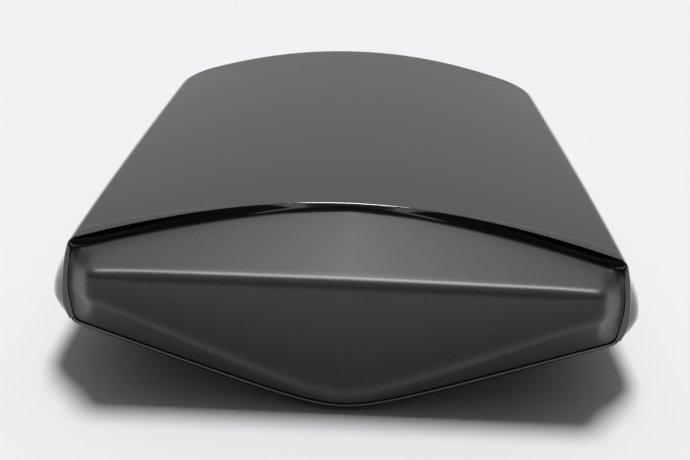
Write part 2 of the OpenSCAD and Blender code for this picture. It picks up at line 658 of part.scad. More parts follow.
// Rubber foot: a tapered pad with a stem that presses into its pedestal
foot_taper = 1.5;
foot_edge = 1;
module foot(p) {
    top = foot_h + stem_l;
    color(rubber_c) translate(place([p[0], p[1], 0])) rotate_extrude() polygon([[0, 0],
        [foot_r - foot_taper - foot_edge, 0], [foot_r - foot_taper, foot_edge],
        [foot_r, foot_h - foot_edge], [foot_r, foot_h], [stem_r, foot_h], [stem_r, top - foot_edge],
        [stem_r - foot_edge, top], [0, top]]);
}
module foot_front_left() { foot(feet[0]); }
module foot_front_right() { foot(feet[1]); }
module foot_rear_left() { foot(feet[2]); }
module foot_rear_right() { foot(feet[3]); }

cowl_shell();
pad_panel();
pad_screws();
pad_washers();
under_tray();
tray_inserts();
tray_screws();
tray_washers();
striker_plate();
striker_rod();
striker_screws();
striker_nuts();
foot_front_left();
foot_front_right();
foot_rear_left();
foot_rear_right();
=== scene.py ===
import bmesh
import bpy
import numpy as np
from mathutils import Matrix, Vector


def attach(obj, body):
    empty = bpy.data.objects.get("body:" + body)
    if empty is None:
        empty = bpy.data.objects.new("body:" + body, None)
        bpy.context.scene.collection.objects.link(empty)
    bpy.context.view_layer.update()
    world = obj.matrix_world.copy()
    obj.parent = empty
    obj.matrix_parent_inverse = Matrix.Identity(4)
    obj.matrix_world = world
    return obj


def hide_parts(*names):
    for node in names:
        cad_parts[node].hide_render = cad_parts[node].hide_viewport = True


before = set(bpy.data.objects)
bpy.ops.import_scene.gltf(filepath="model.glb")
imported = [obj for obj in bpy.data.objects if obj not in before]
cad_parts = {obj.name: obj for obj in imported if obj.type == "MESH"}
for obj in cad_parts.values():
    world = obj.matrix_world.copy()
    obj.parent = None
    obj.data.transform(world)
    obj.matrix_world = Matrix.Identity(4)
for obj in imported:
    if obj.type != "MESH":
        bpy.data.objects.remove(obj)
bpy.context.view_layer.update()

# Camera and studio.
# The photograph was taken with a long lens from about 32 degrees above the panel, with the
# cowl leaning a little; the lean is the camera's roll here. The studio is a pale floor, one
# soft light behind and above, and a room that is brighter behind than in front.
PHOTO_W = 690
SENSOR_W = 36.0
FOCAL_PX = 2015.0
VIEW_AZIMUTH = np.radians(0.74)
VIEW_ELEVATION = np.radians(32.0)
VIEW_ROLL = np.radians(2.0)
VIEW_DISTANCE = 0.965
VIEW_TARGET = Vector((-0.0015, -0.105, 0.0865))
FLOOR_W = 12.0
FLOOR_COLOUR = (0.86, 0.865, 0.875, 1)
KEY_STRENGTH = 2.65
KEY_ANGLE = np.radians(17.0)
KEY_PLACE = Vector((0.03, 0.6, 1.86))
ROOM_FRONT = 0.03
ROOM_BACK = 0.52
ROOM_FRONT_AT = -0.5
ROOM_BACK_AT = 0.9


def aim(thing, place, target, roll=0.0):
    """Points a thing's -Z at target from place, and turns it by roll about its own axis."""
    turn = (target - place).to_track_quat("-Z", "Y").to_matrix().to_4x4()
    thing.matrix_world = Matrix.Translation(place) @ turn @ Matrix.Rotation(roll, 4, "Z")


lens = bpy.data.cameras.new("camera")
lens.sensor_width = SENSOR_W
lens.lens = FOCAL_PX * SENSOR_W / PHOTO_W
camera = bpy.data.objects.new("camera", lens)
bpy.context.scene.collection.objects.link(camera)
back = Vector((np.sin(VIEW_AZIMUTH) * np.cos(VIEW_ELEVATION),
               -np.cos(VIEW_AZIMUTH) * np.cos(VIEW_ELEVATION),
               np.sin(VIEW_ELEVATION)))
aim(camera, VIEW_TARGET + back * VIEW_DISTANCE, VIEW_TARGET, VIEW_ROLL)
bpy.context.scene.camera = camera

key_data = bpy.data.lights.new("key_light", "SUN")
key_data.angle = KEY_ANGLE
key_data.energy = KEY_STRENGTH
key = bpy.data.objects.new("key_light", key_data)
bpy.context.scene.collection.objects.link(key)
aim(key, KEY_PLACE, Vector((0, 0, 0)))

bpy.context.scene.view_settings.view_transform = "Standard"
room = bpy.data.worlds.new("room")
bpy.context.scene.world = room
room.use_nodes = True
sky = room.node_tree
direction = sky.nodes.new("ShaderNodeTexCoord")
split = sky.nodes.new("ShaderNodeSeparateXYZ")
sky.links.new(direction.outputs["Generated"], split.inputs[0])
depth = sky.nodes.new("ShaderNodeMapRange")
depth.interpolation_type = "SMOOTHSTEP"
depth.inputs["From Min"].default_value = ROOM_FRONT_AT
depth.inputs["From Max"].default_value = ROOM_BACK_AT
depth.inputs["To Min"].default_value = ROOM_FRONT
depth.inputs["To Max"].default_value = ROOM_BACK
sky.links.new(split.outputs["Y"], depth.inputs["Value"])
sky.links.new(depth.outputs[0], sky.nodes["Background"].inputs["Color"])

bpy.ops.mesh.primitive_plane_add(size=FLOOR_W)
floor = bpy.context.object
floor.name = "floor"
floor_paint = bpy.data.materials.new("floor_paint")
floor_paint.use_nodes = True
paint = floor_paint.node_tree.nodes["Principled BSDF"]
paint.inputs["Base Color"].default_value = FLOOR_COLOUR
paint.inputs["Roughness"].default_value = 0.6
paint.inputs["Specular IOR Level"].default_value = 0.2
floor.data.materials.append(floor_paint)

# Cover.
# One gloss black moulding, 2.4 mm thick: a crowned panel that rolls over a tight fold into
# walls that swell out and curl under. Its front edge turns down to the seat of the back pad.
# Sizes are in millimetres; t is the distance behind the front corners, MID_T at the origin.
FRONT_W = 270.0
REAR_W = 193.0
SIDE_L = 204.0
SIDE_POWER = 1.02
REAR_BOW = 27.0
ARCH_L = 33.0
ARCH_POWER = 1.78
CORNER_R = 12.0
FRONT_H = 74.5
REAR_DROP = 14.0
DROP_POWER = 1.4
CROWN_H = 8.0
WALL_T = 2.4
FOLD_R = 3.0
FOLD_PULL = 0.62
SHOULDER = 3.0
SHOULDER_D = 8.0
SIDE_BULGE = 10.8
REAR_BULGE = 5.85
SKIRT_H = 23.6
HEEL_H = 1.5
HEEL_L = 12.0
CORNER_H = 4.8
CORNER_L = 3.0
SWELL_L = 5.0
SWELL_POWER = 3
RISE_POWER = 1.8
WIDE_AT = 0.745
CURL = 0.85
CURL_POWER = 1.7
CHIN_FWD = 29.0
MID_T = 105.0
FAN_L = 30.0
EDGE_R = 1.1
RIM_R = 1.2
INNER_START = 7.6
SIDE_SPREAD = 1.6
PANEL_SPREAD = 1.25
BACK = np.array([0.0, 1.0, 0.0])
LEFT = np.array([-1.0, 1.0, 1.0])


def unit(v):
    """Vectors of length one along the last axis."""
    return v / np.maximum(np.linalg.norm(v, axis=-1, keepdims=True), 1e-12)


def mix(a, b, f):
    """Straight blend from a to b."""
    return a + (b - a) * f


def bend(a, b, c, f):
    """Quadratic curve from a to c, drawn towards b."""
    return mix(mix(a, b, f), mix(b, c, f), f)


def half_w(t):
    """Half width of the panel: the front one less a power of t."""
    return mix(FRONT_W, REAR_W, np.clip(t / SIDE_L, 0, 1) ** SIDE_POWER) / 2


def edge_z(t):
    """Height of the side edges, which fall to the rear by a power of t."""
    return FRONT_H - REAR_DROP * (np.maximum(t, 0) / SIDE_L) ** DROP_POWER


def panel_z(x, t):
    """Height of the panel: the edge height plus a parabolic crown across the width."""
    return edge_z(t) + CROWN_H * (1 - (np.abs(x) / half_w(t)) ** 2)


def skirt_z(t):
    """Height of the walls' lower edge: two exponentials lift it towards the front corner."""
    return SKIRT_H + HEEL_H * np.exp(-t / HEEL_L) + CORNER_H * np.exp(-t / CORNER_L)


def arch_t(x):
    """Place of the panel's front edge, an arch that is deepest at the middle."""
    return ARCH_L * (1 - np.minimum(1, np.abs(x) * 2 / FRONT_W) ** ARCH_POWER)


def wall_off(t, f):
    """Outward offset of the wall at share f of its depth: a shoulder that grows by an exponential
    of the depth, plus the swell times a power of a sine, less the curl by a power below WIDE_AT."""
    depth = f * (edge_z(t) - skirt_z(t))
    curl = (np.maximum(0, f - WIDE_AT) / (1 - WIDE_AT)) ** CURL_POWER
    rise = np.sin(np.pi / 2 * np.minimum(f / WIDE_AT, 1)) ** RISE_POWER
    swell = mix(SIDE_BULGE, REAR_BULGE, np.minimum(1, (t / SIDE_L) ** SWELL_POWER))
    swell = swell * (1 - np.exp(-t / SWELL_L))
    shoulder = SHOULDER * (1 - np.exp(-depth / SHOULDER_D)) * (1 - 0.5 * curl)
    return shoulder + swell * (rise - CURL * curl)


def outline(start, side_n=64, corner_n=20, rear_n=44):
    """Half of the fold line in plan: a power curve, a corner arc and a parabola."""
    f = np.linspace(0, 1, side_n + 1)
    t = start + (SIDE_L - CORNER_R - start) * f ** SIDE_SPREAD
    side = np.stack([half_w(t), t], 1)
    f = np.linspace(0, 1, corner_n + 1)[1:, None]
    reach = REAR_W / 2 - CORNER_R
    rear_end = np.array([reach, SIDE_L + REAR_BOW * (1 - (reach * 2 / REAR_W) ** 2)])
    corner = bend(side[-1], np.array([REAR_W / 2, SIDE_L]), rear_end, f)
    x = reach * (1 - np.linspace(0, 1, rear_n + 1)[1:])
    rear = np.stack([x, SIDE_L + REAR_BOW * (1 - (x * 2 / REAR_W) ** 2)], 1)
    return np.concatenate([side, corner, rear])


def both_sides(half):
    """A half grid that ends on the centre plane, and its mirror image after it."""
    return np.concatenate([half, half[-2::-1] * LEFT])


def cover_grid(start, wall_n=44, fold_n=12, panel_n=36):
    """Outer surface as [station, row]: up the wall along the outline's normal, over the fold by a
    cubic curve, and in to the centre line by a power of the share of the way."""
    foot = outline(start)
    count = len(foot)
    way = np.gradient(both_sides(np.c_[foot, 0 * foot[:, :1]]), axis=0)
    normal = unit(np.stack([way[:, 1], -way[:, 0]], 1))
    for _ in range(6):
        normal[1:-1] = unit(normal[:-2] + 2 * normal[1:-1] + normal[2:])
    normal = normal[:count]
    normal[-1] = [0, 1]
    x, t = foot.T
    top = panel_z(x, t)
    low = skirt_z(t)

    def wall(f):
        """Point of the wall at share f of its depth."""
        off = wall_off(t[:, None], f)
        return np.stack([x[:, None] + normal[:, :1] * off, t[:, None] + normal[:, 1:] * off,
                         mix(top[:, None], low[:, None], f)], 2)

    step = np.arange(count) / (count - 1)
    end = mix(ARCH_L + start, SIDE_L + REAR_BOW - FAN_L, step)
    power = mix(ARCH_POWER, 1.0, np.minimum(1, 2 * step))

    def panel(g):
        """Point of the panel at share g of the way from the fold line to the centre line."""
        px = x[:, None] * (1 - g)
        pt = mix(t[:, None], end[:, None], 1 - (1 - g) ** power[:, None])
        return np.stack([px, pt, panel_z(px, pt)], 2)

    fold_f = (FOLD_R / (top - low))[:, None]
    fold_g = (FOLD_R / np.hypot(x, t - end))[:, None]
    lower = wall(mix(1.0, fold_f, np.linspace(0, 1, wall_n + 1)[None]))
    upper = panel(mix(fold_g, 1.0, np.linspace(0, 1, panel_n + 1)[None] ** PANEL_SPREAD))
    a = lower[:, -1:]
    d = upper[:, :1]
    reach = FOLD_PULL * FOLD_R
    b = a + unit(a - wall(fold_f + 0.01)) * reach
    c = d + unit(d - panel(fold_g + 0.002)) * reach
    s = np.linspace(0, 1, fold_n + 1)[1:-1][None, :, None]
    fold = (1 - s) ** 3 * a + 3 * s * (1 - s) ** 2 * b + 3 * s ** 2 * (1 - s) * c + s ** 3 * d
    return both_sides(np.concatenate([lower, fold, upper], 1))


def inset(grid, wall):
    """The same grid moved in along its normals; on the centre line they have no sideways part."""
    normal = unit(np.cross(np.gradient(grid, axis=0), np.gradient(grid, axis=1)))
    x, t = grid[:, -1, 0], grid[:, -1, 1]
    slope = panel_z(x, t + 0.5) - panel_z(x, t - 0.5)
    normal[:, -1] = unit(np.stack([np.zeros_like(slope), -slope, np.ones_like(slope)], 1))
    return grid - wall * normal


def sheet_mesh(name, sheets, caps=(), sharp=40.0):
    """One welded mesh from grids of points, each joined in squares, and flat end caps."""
    verts = []
    faces = []
    count = 0
    for sheet in sheets:
        rows, cols = sheet.shape[:2]
        index = count + np.arange(rows * cols).reshape(rows, cols)
        quads = np.stack([index[:-1, :-1], index[1:, :-1], index[1:, 1:], index[:-1, 1:]], -1)
        faces.extend(quads.reshape(-1, 4).tolist())
        verts.append(sheet.reshape(-1, 3))
        count += rows * cols
    for cap in caps:
        verts.append(cap)
        faces.append(list(range(count, count + len(cap))))
        count += len(cap)
    metres = (np.concatenate(verts) - MID_T * BACK) * 0.001
    mesh = bpy.data.meshes.new(name)
    mesh.from_pydata(metres.tolist(), [], faces)
    work = bmesh.new()
    work.from_mesh(mesh)
    bmesh.ops.remove_doubles(work, verts=work.verts, dist=2e-6)
    bmesh.ops.recalc_face_normals(work, faces=work.faces)
    work.to_mesh(mesh)
    work.free()
    mesh.shade_smooth()
    mesh.set_sharp_from_angle(angle=np.radians(sharp))
    piece = bpy.data.objects.new(name, mesh)
    bpy.context.scene.collection.objects.link(piece)
    return piece


# Seat of the pad.
# Along the top and the sides the cover's front edge rolls down into a rebate, 4 mm deep, with
# a flange behind the pad's edge. Under the chin a separate-looking lip returns backwards.
PAD_DROP_MID = 2.7
PAD_DROP_END = 5.3
DROP_REACH = FRONT_W * 0.375
PAD_CORNER_D = 46.0
PAD_TIP_D = 70.0
TIP_R = 20.0
SEAT_GAP = 0.3
OPEN_X = FRONT_W / 2 - SEAT_GAP
OPEN_BOW = 1.6
OPEN_R = 5.0
TOP_X = OPEN_X - OPEN_R
OPEN_HI = FRONT_H - PAD_DROP_END - OPEN_R
OPEN_LO = FRONT_H - PAD_CORNER_D + OPEN_R
REBATE = 4.0
FLANGE_W = 15.0
CHIN_L = 22.0
CHIN_T = 3.0
CHIN_EDGE = 0.8
CHIN_ROUND_IN = 0.9
CHIN_ROUND_OUT = 1.5
LIP_R = 0.4
WALL_ROWS = 50


def tip_f(x, width):
    """Share of the way from the lower corners, 0, to the rounded tip, 1."""
    return 1 - (np.hypot(x, TIP_R) - TIP_R) / (np.hypot(width, TIP_R) - TIP_R)


def open_top(x):
    """Top of the opening: below the panel's front edge by a drop that grows to the ends."""
    drop = mix(PAD_DROP_MID, PAD_DROP_END, np.sin(np.pi / 2 * np.minimum(1, x / DROP_REACH)))
    return np.stack([x, arch_t(x), panel_z(x, arch_t(x)) - drop], 1)


def open_low(x):
    """Bottom of the opening: a V with a rounded tip, which runs forward to the tip."""
    f = tip_f(x, FRONT_W / 2)
    return np.stack([x, -CHIN_FWD * f, FRONT_H - mix(PAD_CORNER_D, PAD_TIP_D, f)], 1)


def open_side(f):
    """Side of the opening, bowed outwards."""
    return np.stack([OPEN_X + OPEN_BOW * np.sin(np.pi * f), 0 * f, mix(OPEN_HI, OPEN_LO, f)], 1)


def resample(points, count):
    """The polyline at even steps of its length."""
    length = np.r_[0, np.cumsum(np.linalg.norm(np.diff(points, axis=0), axis=1))]
    at = np.linspace(0, length[-1], count)
    return np.stack([np.interp(at, length, points[:, i]) for i in range(3)], 1)


def turn_in(line):
    """Inward direction, square to a line that runs from the chin's middle round to the top."""
    way = np.gradient(line, axis=0)
    return unit(np.cross(way, BACK))


corner_f = np.linspace(0, 1, 13)[:, None]
top_line = open_top(np.linspace(0, TOP_X, 160))
side_line = open_side(np.linspace(0, 1, 60))
low_line = open_low(np.linspace(TOP_X, 0, 160))
top_corner = bend(top_line[-1], np.array([OPEN_X, 0, OPEN_HI + OPEN_R]), side_line[0], corner_f)
low_corner = bend(side_line[-1], np.array([OPEN_X, 0, OPEN_LO - OPEN_R]), low_line[0], corner_f)
upper_loop = np.concatenate([top_line, top_corner[1:7]])[::-1]
side_loop = np.concatenate([top_corner[6:], side_line[1:-1], low_corner[:7]])[::-1]
chin_loop = np.concatenate([low_corner[6:], low_line[1:]])[::-1]


def seat_section(edge, lip):
    """Section of the seat at each lip point: rolled front edge, rebate, flange and its back."""
    front = edge * (1 - BACK) + lip * BACK
    drop = (lip - edge) * (1 - BACK)
    down = unit(drop)
    width = np.linalg.norm(drop, axis=1, keepdims=True)
    roll = np.minimum(EDGE_R, width * 0.45)
    round_r = np.minimum(LIP_R, width * 0.2)
    rolled = [bend(edge, front, front + down * roll, s) for s in np.linspace(0, 1, 9)]
    flat = [mix(front + down * roll, lip - down * round_r, s) for s in (0.33, 0.67, 1.0)]
    turned = [bend(lip - down * round_r, lip, lip + BACK * round_r, s) for s in (0.33, 0.67, 1.0)]
    seat = lip + BACK * REBATE
    flange = turn_in(lip) * FLANGE_W
    return np.stack(rolled + flat + turned + [seat, seat + flange, seat + flange + BACK * WALL_T,
                                              seat + BACK * WALL_T], 1)


def chin_section(lip):
    """Closed section of the chin's lip at each point: rounded rim, return, rebate and flange."""
    inward = turn_in(lip)
    width = FLANGE_W * (1 - tip_f(lip[:, :1], FRONT_W / 2) / 2)

    def at(out, back):
        """Point out from the lip by the first length and behind it by the second."""
        return lip - inward * out + BACK * back

    def turned(a, b, c):
        """Five points of the quadratic curve from a to c, drawn towards b."""
        return [bend(at(*a), at(*b), at(*c), s) for s in np.linspace(0, 1, 5)]

    r = CHIN_EDGE
    path = (turned((0, CHIN_ROUND_IN), (0, 0), (CHIN_T / 2, 0))
            + turned((CHIN_T / 2, 0), (CHIN_T, 0), (CHIN_T, CHIN_ROUND_OUT))
            + turned((CHIN_T, CHIN_L - r), (CHIN_T, CHIN_L), (CHIN_T - r, CHIN_L))
            + turned((r, CHIN_L), (0, CHIN_L), (0, CHIN_L - r))
            + [at(0, REBATE + WALL_T), at(-width, REBATE + WALL_T), at(-width, REBATE),
               at(0, REBATE), at(0, CHIN_ROUND_IN)])
    return np.stack(path, 1)


outer = cover_grid(EDGE_R)
inner = inset(cover_grid(INNER_START), WALL_T)
edge = outer[0]
lip = np.concatenate([resample(side_loop, WALL_ROWS)[:-1],
                      resample(upper_loop, len(edge) - WALL_ROWS + 1)])
half_seat = np.concatenate([seat_section(edge, lip), inner[0][:, None]], 1)
rim_f = np.linspace(0, 1, 6)[None, :, None]
rim = bend(outer[:, :1], (outer[:, :1] + inner[:, :1]) / 2 - [0, 0, RIM_R], inner[:, :1], rim_f)
chin_half = chin_section(resample(chin_loop, 120))
chin = both_sides(chin_half[::-1])
cover = sheet_mesh("cover", [outer, inner, rim, both_sides(half_seat)],
                   caps=[half_seat[0], half_seat[0] * LEFT])
chin_lip = sheet_mesh("chin_lip", [chin], caps=[chin[0], chin[-1]])

# Bosses and ribs.
# Six screw bosses stand down from the panel to the tray, and three ribs tie them across. Four
# short lugs behind the flange take the pad's screws.
BOSS_R = 6.5
BOSS_ROUND = 0.4
INSERT_R = 3.9
INSERT_LEAD = 0.3
TRAY_TOP = 28.0
HOLE_L = 13.0
RIB_D = 7.0
RIB_W = 1.8
RIB_POINT = 0.5
RIB_END = 24.0
LUG_R = 5.2
LUG_ROUND = 0.3
LUG_L = 6.0
LUG_IN = 9.6
LUG_PROUD = 2.2
PAD_HOLE_R = 2.05
UPPER_X = 62.0
LOWER_X = 75.0
FRONT_BOSS = (half_w(48) - 49.5, 42.0)
MIDDLE_BOSS = (half_w(102) - 28, 102.0)
REAR_BOSS = (half_w(182) - 35.5, 146.0)
BOSSES = (FRONT_BOSS, MIDDLE_BOSS, REAR_BOSS)


def turned_grid(profile, place, axis, steps=40):
    """Surface of revolution: a profile of [radius, height] carried round an axis from place."""
    r, h = np.asarray(profile, float).T
    a = np.linspace(0, 2 * np.pi, steps + 1)[:, None]
    flat = np.cos(a) * r, np.sin(a) * r
    if axis == "z":
        return np.stack([flat[0], flat[1], 0 * a + h], 2) + place
    return np.stack([flat[0], 0 * a + h, -flat[1]], 2) + place


def boss_grid(x, t):
    """Tube from the tray's top to the panel, with a rounded rim and a blind hole."""
    high = panel_z(x, t) - WALL_T / 2 - TRAY_TOP
    return turned_grid([(0, HOLE_L), (INSERT_R, HOLE_L), (INSERT_R, INSERT_LEAD),
                        (INSERT_R + INSERT_LEAD, 0), (BOSS_R - BOSS_ROUND, 0), (BOSS_R, BOSS_ROUND),
                        (BOSS_R, high)], [x, t, TRAY_TOP], "z")


def rib_grid(t):
    """Strip across the panel's underside: a blunt section carried along the crown's parabola."""
    reach = half_w(t) - RIB_END
    x = np.linspace(-reach, reach, 61)
    z = panel_z(x, t) - WALL_T / 2
    section = [(-RIB_W / 2, 0), (-RIB_W / 2, RIB_POINT - RIB_D), (0, -RIB_D),
               (RIB_W / 2, RIB_POINT - RIB_D), (RIB_W / 2, 0)]
    return np.stack([np.stack([x, t + dt + 0 * x, z + dz], 1) for dt, dz in section], 1)


def lug_place(line, x):
    """Centre of a lug's front face, in from the opening's edge where the line passes x."""
    order = np.argsort(line[:, 0])
    near_x = [x - 1, x, x + 1]
    near = np.stack([np.interp(near_x, line[order, 0], line[order, i]) for i in range(3)], 1)
    inward = turn_in(near if near[0, 2] < FRONT_H / 2 else near[::-1])[1]
    return near[1] + inward * LUG_IN + BACK * (REBATE - LUG_PROUD)


lugs = [lug_place(top_line, UPPER_X), lug_place(low_line, LOWER_X)]
lugs = lugs + [p * LEFT for p in lugs]
lug_tube = [(PAD_HOLE_R, 0), (LUG_R - LUG_ROUND, 0), (LUG_R, LUG_ROUND), (LUG_R, LUG_L),
            (PAD_HOLE_R, LUG_L), (PAD_HOLE_R, 0)]
boss_sheets = [boss_grid(x * s, t) for x, t in BOSSES for s in (-1, 1)]
rib_sheets = [rib_grid(t) for _, t in BOSSES]
lug_sheets = [turned_grid(lug_tube, p, "y") for p in lugs]
inside = sheet_mesh("cover_inside", boss_sheets + rib_sheets + lug_sheets,
                    caps=[g[i] for g in rib_sheets for i in (0, -1)])

# Gloss black finish: a deep black under a hard clear surface, with a faint ripple in the gloss
# and a haze that changes slowly over the cover.
gloss = bpy.data.materials.new("gloss_black")
gloss.use_nodes = True
tree = gloss.node_tree
shader = tree.nodes["Principled BSDF"]
shader.inputs["Base Color"].default_value = (0.006, 0.006, 0.0065, 1)
shader.inputs["IOR"].default_value = 1.5
shader.inputs["Coat Weight"].default_value = 1.0
shader.inputs["Coat IOR"].default_value = 1.6
shader.inputs["Coat Roughness"].default_value = 0.05
where = tree.nodes.new("ShaderNodeTexCoord")
ripple = tree.nodes.new("ShaderNodeTexNoise")
ripple.inputs["Scale"].default_value = 260.0
ripple.inputs["Detail"].default_value = 2.0
ripple_bump = tree.nodes.new("ShaderNodeBump")
ripple_bump.inputs["Strength"].default_value = 0.04
ripple_bump.inputs["Distance"].default_value = 0.0004
haze = tree.nodes.new("ShaderNodeTexNoise")
haze.inputs["Scale"].default_value = 14.0
haze.inputs["Detail"].default_value = 6.0
haze_range = tree.nodes.new("ShaderNodeMapRange")
haze_range.inputs["To Min"].default_value = 0.13
haze_range.inputs["To Max"].default_value = 0.21
tree.links.new(where.outputs["Object"], ripple.inputs["Vector"])
tree.links.new(where.outputs["Object"], haze.inputs["Vector"])
tree.links.new(ripple.outputs[0], ripple_bump.inputs["Height"])
tree.links.new(ripple_bump.outputs[0], shader.inputs["Normal"])
tree.links.new(haze.outputs[0], haze_range.inputs["Value"])
tree.links.new(haze_range.outputs[0], shader.inputs["Roughness"])
for piece in (cover, chin_lip, inside):
    piece.data.materials.append(gloss)
    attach(piece, "root")
    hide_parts("cowl_shell")

# Back pad.
# A hollow moulding in dark grained plastic that sits in the rebate: an upper facet runs forward
# to a rounded ridge, a hollowed face falls back under it, and a flank closes it to the chin.
RIDGE_FWD = 18.0
RIDGE_D = 6.6
RIDGE_X = OPEN_X - 11.0
RIDGE_R = 5.0
CREASE_R = 3.5
FACE_FWD = 3.0
FACE_END_D = 20.3
FLANK_W = 6.3
SCOOP = 3.0
HOLLOW_AT = 0.47
CHIN_PROUD = 0.8
PAD_T = 2.6
PAD_EDGE = 0.8
PAD_SPREAD = 1.2
END_PASSES = 14
END_SPAN = 12
PILOT_R = 1.95
PAD_BOSS_R = 3.6
PAD_BOSS_ROUND = 0.2
UPPER_BOSS_L = 26.0
UPPER_HOLE_L = 9.0
LOWER_BOSS_L = 4.4
LOWER_HOLE_L = 3.4
SKIRT_STEP = 0.6


def toward(a, b, d):
    """Point at distance d from a on the way to b, at most 0.45 of the way."""
    way = b - a
    return a + unit(way) * np.minimum(d, np.linalg.norm(way, axis=1, keepdims=True) * 0.45)


def pad_rows(top, low, x):
    """Rows of the pad's face for columns at x: straight facet, quadratic ridge, hollowed face as a
    quadratic curve through the hollow, quadratic fold and straight flank."""
    one = np.ones_like(x)
    f = tip_f(x, RIDGE_X)
    ridge = np.stack([x, -RIDGE_FWD * one, (FRONT_H - RIDGE_D) * one], 1)
    face = np.stack([x, -mix(RIDGE_FWD + FACE_FWD, CHIN_FWD + CHIN_PROUD, f),
                     FRONT_H - mix(FACE_END_D, PAD_TIP_D - FLANK_W, f)], 1)
    hollow = mix(ridge, face, HOLLOW_AT) + BACK * SCOOP * f[:, None]
    r1, r2 = toward(ridge, top, RIDGE_R), toward(ridge, hollow, RIDGE_R)
    c1, c2 = toward(face, hollow, CREASE_R), toward(face, low, CREASE_R)
    rows = [mix(top, r1, s) for s in np.linspace(0, 1, 15)]
    rows += [bend(r1, ridge, r2, s) for s in np.linspace(0, 1, 9)[1:]]
    rows += [bend(r2, 2 * hollow - (r2 + c1) / 2, c1, s) for s in np.linspace(0, 1, 15)[1:]]
    rows += [bend(c1, face, c2, s) for s in np.linspace(0, 1, 8)[1:]]
    rows += [mix(c2, low, s) for s in np.linspace(0, 1, 8)[1:]]
    return np.stack(rows, 1)


def pad_grid(d, main_n=70, end_n=22):
    """Half of the pad's face inside an edge moved in by d. Past the ridge's end a blended
    patch joins the last column to the opening's side: both pairs of edges less the corners.
    Weighted means of three columns then round the ridge's end."""
    ring = np.concatenate([chin_loop, side_loop[1:], upper_loop[1:]])
    ring = ring + turn_in(ring) * d
    low_n, side_n = len(chin_loop), len(side_loop)
    low_part = ring[:low_n]
    side_part = ring[low_n - 1:low_n + side_n - 1][::-1]
    top_part = ring[low_n + side_n - 2:][::-1]
    x = RIDGE_X * (1 - np.linspace(1, 0, main_n) ** PAD_SPREAD)
    top = np.stack([np.interp(x, top_part[:, 0], top_part[:, i]) for i in range(3)], 1)
    low = np.stack([np.interp(x, low_part[:, 0], low_part[:, i]) for i in range(3)], 1)
    main = pad_rows(top, low, x)
    last = main[-1]
    top_end = resample(np.concatenate([top[-1:], top_part[top_part[:, 0] > RIDGE_X]]), end_n + 1)
    low_end = resample(np.concatenate([low[-1:], low_part[low_part[:, 0] > RIDGE_X]]), end_n + 1)
    length = np.r_[0, np.cumsum(np.linalg.norm(np.diff(last, axis=0), axis=1))]
    share = length / length[-1]
    side_len = np.r_[0, np.cumsum(np.linalg.norm(np.diff(side_part, axis=0), axis=1))]
    side = np.stack([np.interp(share * side_len[-1], side_len, side_part[:, i]) for i in range(3)], 1)
    u = np.linspace(0, 1, end_n + 1)[:, None, None]
    v = share[None, :, None]
    patch = (mix(last[None], side[None], u) + mix(top_end[:, None], low_end[:, None], v)
             - mix(mix(last[0], side[0], u), mix(last[-1], side[-1], u), v))
    half = np.concatenate([main, patch[1:]])
    for _ in range(END_PASSES):
        near = half[main_n - END_SPAN - 1:main_n + END_SPAN, 1:-1]
        near = (near[:-2] + 2 * near[1:-1] + near[2:]) / 4
        half[main_n - END_SPAN:main_n + END_SPAN - 1, 1:-1] = near
    return both_sides(half[::-1])


def grid_border(grid):
    """The grid's border as one closed line."""
    return np.concatenate([grid[:, 0], grid[-1, 1:], grid[-2::-1, -1], grid[0, -2::-1]])


face = pad_grid(SEAT_GAP + PAD_EDGE)
face_edge = grid_border(face)
outside = grid_border(pad_grid(SEAT_GAP))
rounded = np.stack([bend(face_edge, outside, outside + BACK * PAD_EDGE, s)
                    for s in np.linspace(0, 1, 6)], 1)
rear = REBATE - 2.5 * SEAT_GAP
inside_edge = grid_border(pad_grid(SEAT_GAP + PAD_T))
skirt = np.stack([rounded[:, -1], outside + BACK * rear, inside_edge + BACK * rear,
                  inside_edge + BACK * SKIRT_STEP], 1)
depth_way = unit(np.cross(np.gradient(face, axis=0), np.gradient(face, axis=1))) * PAD_T
back_face = face + depth_way * np.sign(depth_way[len(face) // 2, 20, 1])
inner_ring = np.stack([inside_edge + BACK * SKIRT_STEP, grid_border(back_face)], 1)
pad_bosses = []
for number, p in enumerate(lugs):
    upper = number % 2 == 0
    boss_l = UPPER_BOSS_L if upper else LOWER_BOSS_L
    hole_l = UPPER_HOLE_L if upper else LOWER_HOLE_L
    pad_bosses.append(turned_grid([(0, -hole_l), (PILOT_R, -hole_l), (PILOT_R, 0),
                                   (PAD_BOSS_R - PAD_BOSS_ROUND, 0), (PAD_BOSS_R, -PAD_BOSS_ROUND),
                                   (PAD_BOSS_R, -boss_l)], p, "y"))
pad = sheet_mesh("back_pad", [face, rounded, skirt, inner_ring, back_face] + pad_bosses, sharp=50)

# Fine grain that the pad, the tray and the feet share at their own scales: rounded cells with
# a little noise between them.
grain = bpy.data.node_groups.new("moulded_grain", "ShaderNodeTree")
grain.interface.new_socket("Scale", in_out="INPUT", socket_type="NodeSocketFloat")
grain.interface.new_socket("Strength", in_out="INPUT", socket_type="NodeSocketFloat")
grain.interface.new_socket("Distance", in_out="INPUT", socket_type="NodeSocketFloat")
grain.interface.new_socket("Normal", in_out="OUTPUT", socket_type="NodeSocketVector")
grain.interface.new_socket("Pits", in_out="OUTPUT", socket_type="NodeSocketFloat")
given = grain.nodes.new("NodeGroupInput")
result = grain.nodes.new("NodeGroupOutput")
place = grain.nodes.new("ShaderNodeTexCoord")
cells = grain.nodes.new("ShaderNodeTexVoronoi")
cells.feature = "SMOOTH_F1"
cells.inputs["Smoothness"].default_value = 0.6
speck = grain.nodes.new("ShaderNodeTexNoise")
speck.inputs["Detail"].default_value = 3.0
added = grain.nodes.new("ShaderNodeMath")
added.operation = "MULTIPLY_ADD"
added.inputs[1].default_value = 0.5
